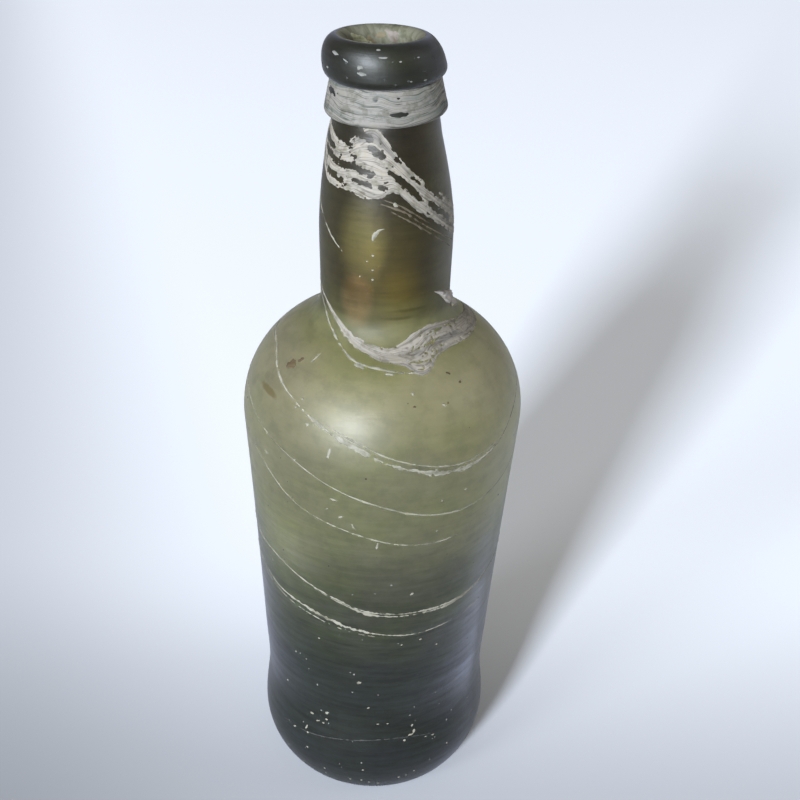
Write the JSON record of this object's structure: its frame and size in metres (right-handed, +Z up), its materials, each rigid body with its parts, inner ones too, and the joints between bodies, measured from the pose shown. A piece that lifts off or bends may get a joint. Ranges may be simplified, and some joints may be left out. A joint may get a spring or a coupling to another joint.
{
  "type": "glass bottle",
  "caption": "Round glass bottle with long tapering body, full shoulder, swollen neck and an applied collar and rounded lip, open at the mouth.",
  "frame": {"origin": "centre of the resting ring, in the plane that the bottle stands on", "axes": "+Z up the bottle's axis, out of the mouth; the bottle is round, so +X and +Y are free"},
  "size_m": [0.087, 0.087, 0.255],
  "materials": {
    "vessel_glass": "olive-green blown glass, near black where thick, weathered skin with fine scratches",
    "collar_glass": "dark olive glass under a thin grey-white weathering crust",
    "lip_glass": "very dark olive glass with a blue-grey haze and small chips"
  },
  "bodies": {
    "root": {"vessel": "vessel_glass", "collar": "collar_glass", "lip": "lip_glass"}
  },
  "joints": []
}
